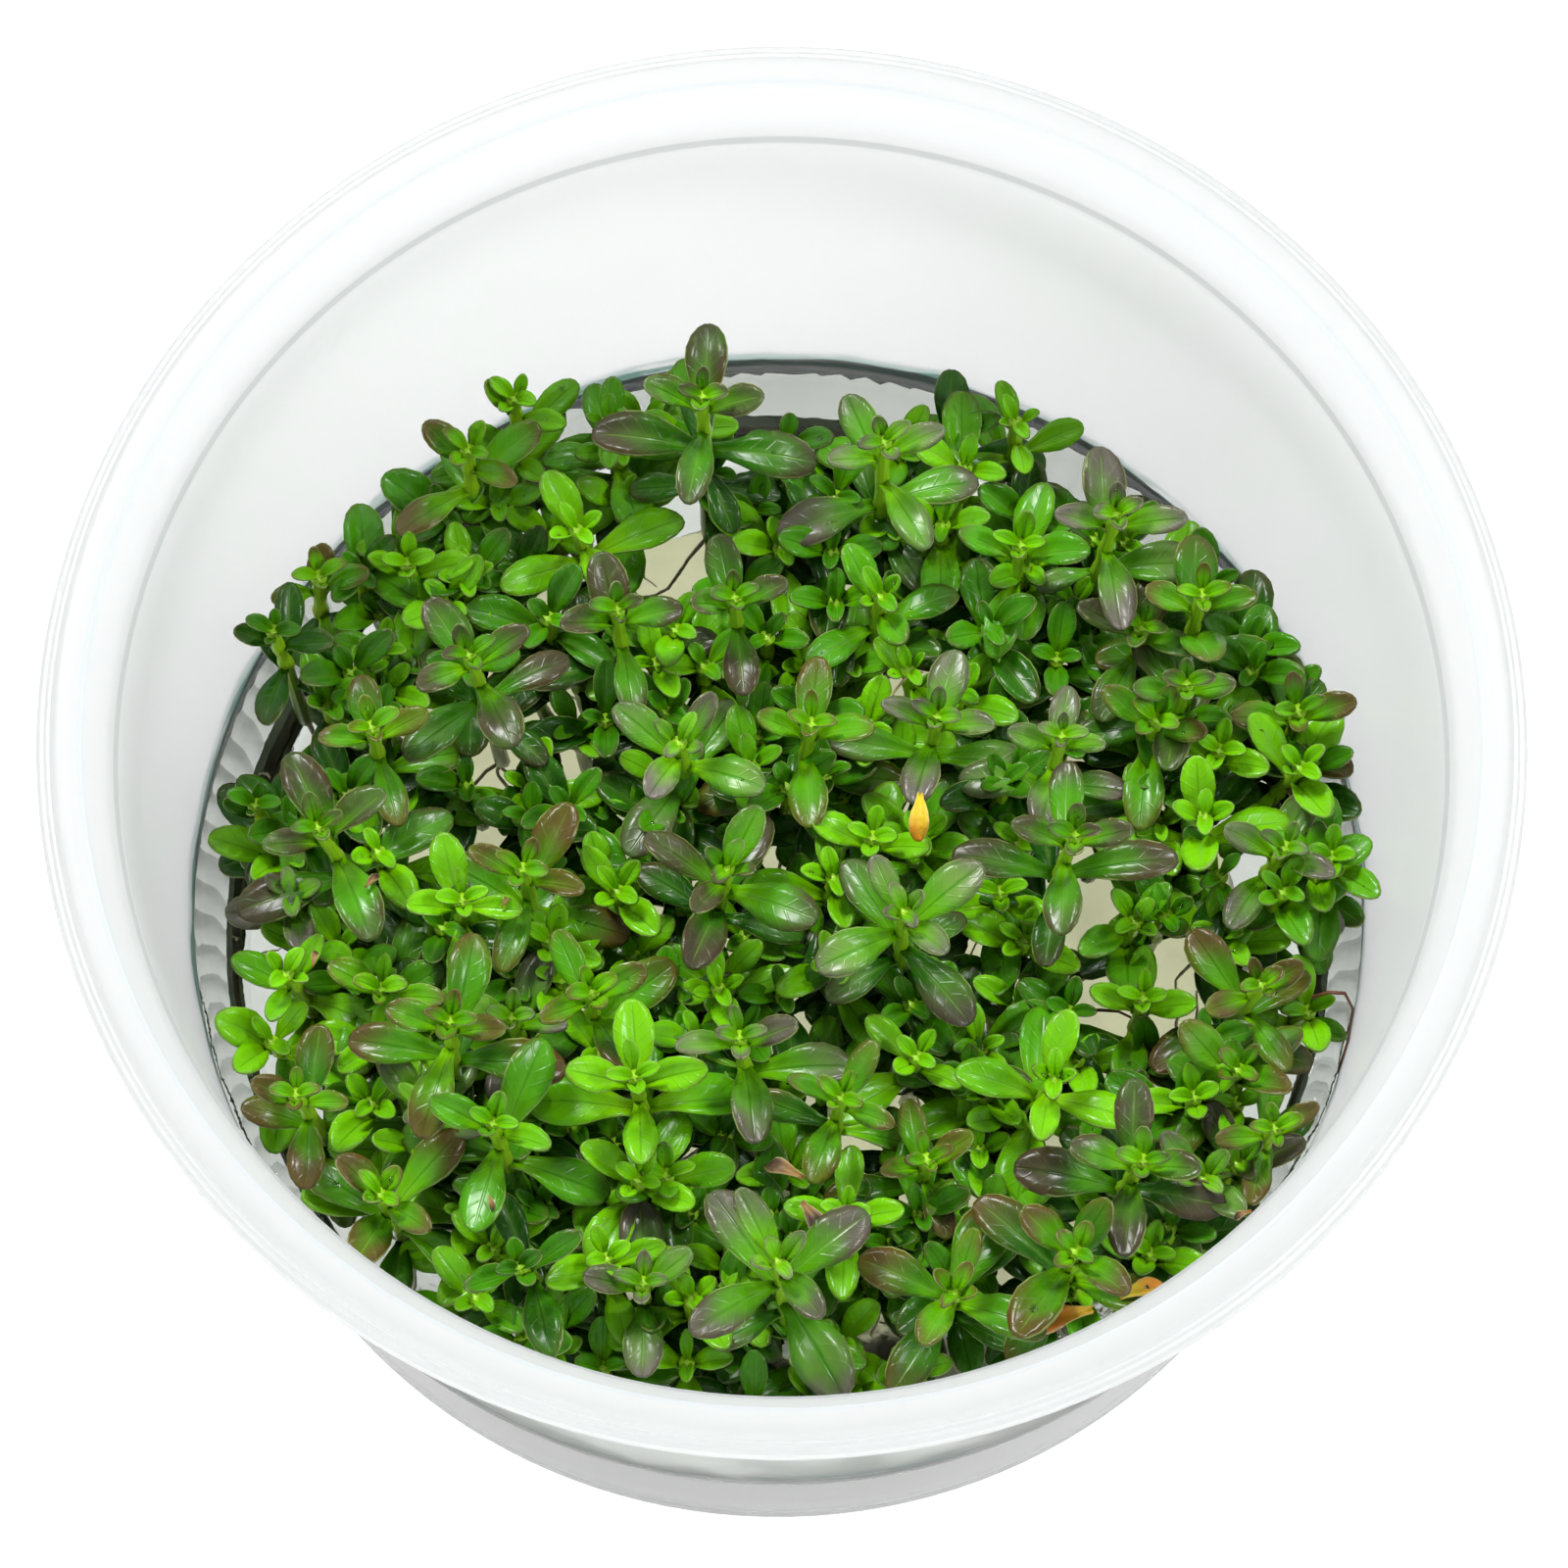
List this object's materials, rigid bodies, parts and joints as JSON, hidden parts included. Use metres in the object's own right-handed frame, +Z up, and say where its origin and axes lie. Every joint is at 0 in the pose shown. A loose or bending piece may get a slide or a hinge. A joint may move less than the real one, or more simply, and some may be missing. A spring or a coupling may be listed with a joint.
{
  "type": "culture cup with water plants",
  "caption": "Open translucent tapered cup of clear gel with a dense stand of young rotala shoots, their crossed pairs of spoon-shaped leaves green with purple-brown tips.",
  "frame": {"origin": "middle of the flat base that the cup stands on", "axes": "+Z up along the cup's axis, +X to the right and +Y to the back of the picture's view"},
  "size_m": [0.1, 0.1, 0.0533],
  "materials": {
    "cup_plastic": "smooth translucent white moulded plastic",
    "gel": "wet clear gel with a cream cast",
    "foliage": "waxy wet leaf, bright green turning olive and purple-brown at the tips"
  },
  "bodies": {
    "root": {"back_shoot_1": "foliage", "back_shoot_10": "foliage", "back_shoot_11": "foliage", "back_shoot_12": "foliage", "back_shoot_13": "foliage", "back_shoot_14": "foliage", "back_shoot_15": "foliage", "back_shoot_2": "foliage", "back_shoot_3": "foliage", "back_shoot_4": "foliage", "back_shoot_5": "foliage", "back_shoot_6": "foliage", "back_shoot_7": "foliage", "back_shoot_8": "foliage", "back_shoot_9": "foliage", "cup": "cup_plastic", "front_shoot_1": "foliage", "front_shoot_10": "foliage", "front_shoot_11": "foliage", "front_shoot_2": "foliage", "front_shoot_3": "foliage", "front_shoot_4": "foliage", "front_shoot_5": "foliage", "front_shoot_6": "foliage", "front_shoot_7": "foliage", "front_shoot_8": "foliage", "front_shoot_9": "foliage", "gel": "gel", "left_shoot_1": "foliage", "left_shoot_10": "foliage", "left_shoot_2": "foliage", "left_shoot_3": "foliage", "left_shoot_4": "foliage", "left_shoot_5": "foliage", "left_shoot_6": "foliage", "left_shoot_7": "foliage", "left_shoot_8": "foliage", "left_shoot_9": "foliage", "middle_shoot_1": "foliage", "middle_shoot_10": "foliage", "middle_shoot_11": "foliage", "middle_shoot_12": "foliage", "middle_shoot_13": "foliage", "middle_shoot_2": "foliage", "middle_shoot_3": "foliage", "middle_shoot_4": "foliage", "middle_shoot_5": "foliage", "middle_shoot_6": "foliage", "middle_shoot_7": "foliage", "middle_shoot_8": "foliage", "middle_shoot_9": "foliage", "right_shoot_1": "foliage", "right_shoot_2": "foliage", "right_shoot_3": "foliage", "right_shoot_4": "foliage", "right_shoot_5": "foliage", "right_shoot_6": "foliage", "right_shoot_7": "foliage", "right_shoot_8": "foliage", "right_shoot_9": "foliage"}
  },
  "joints": []
}
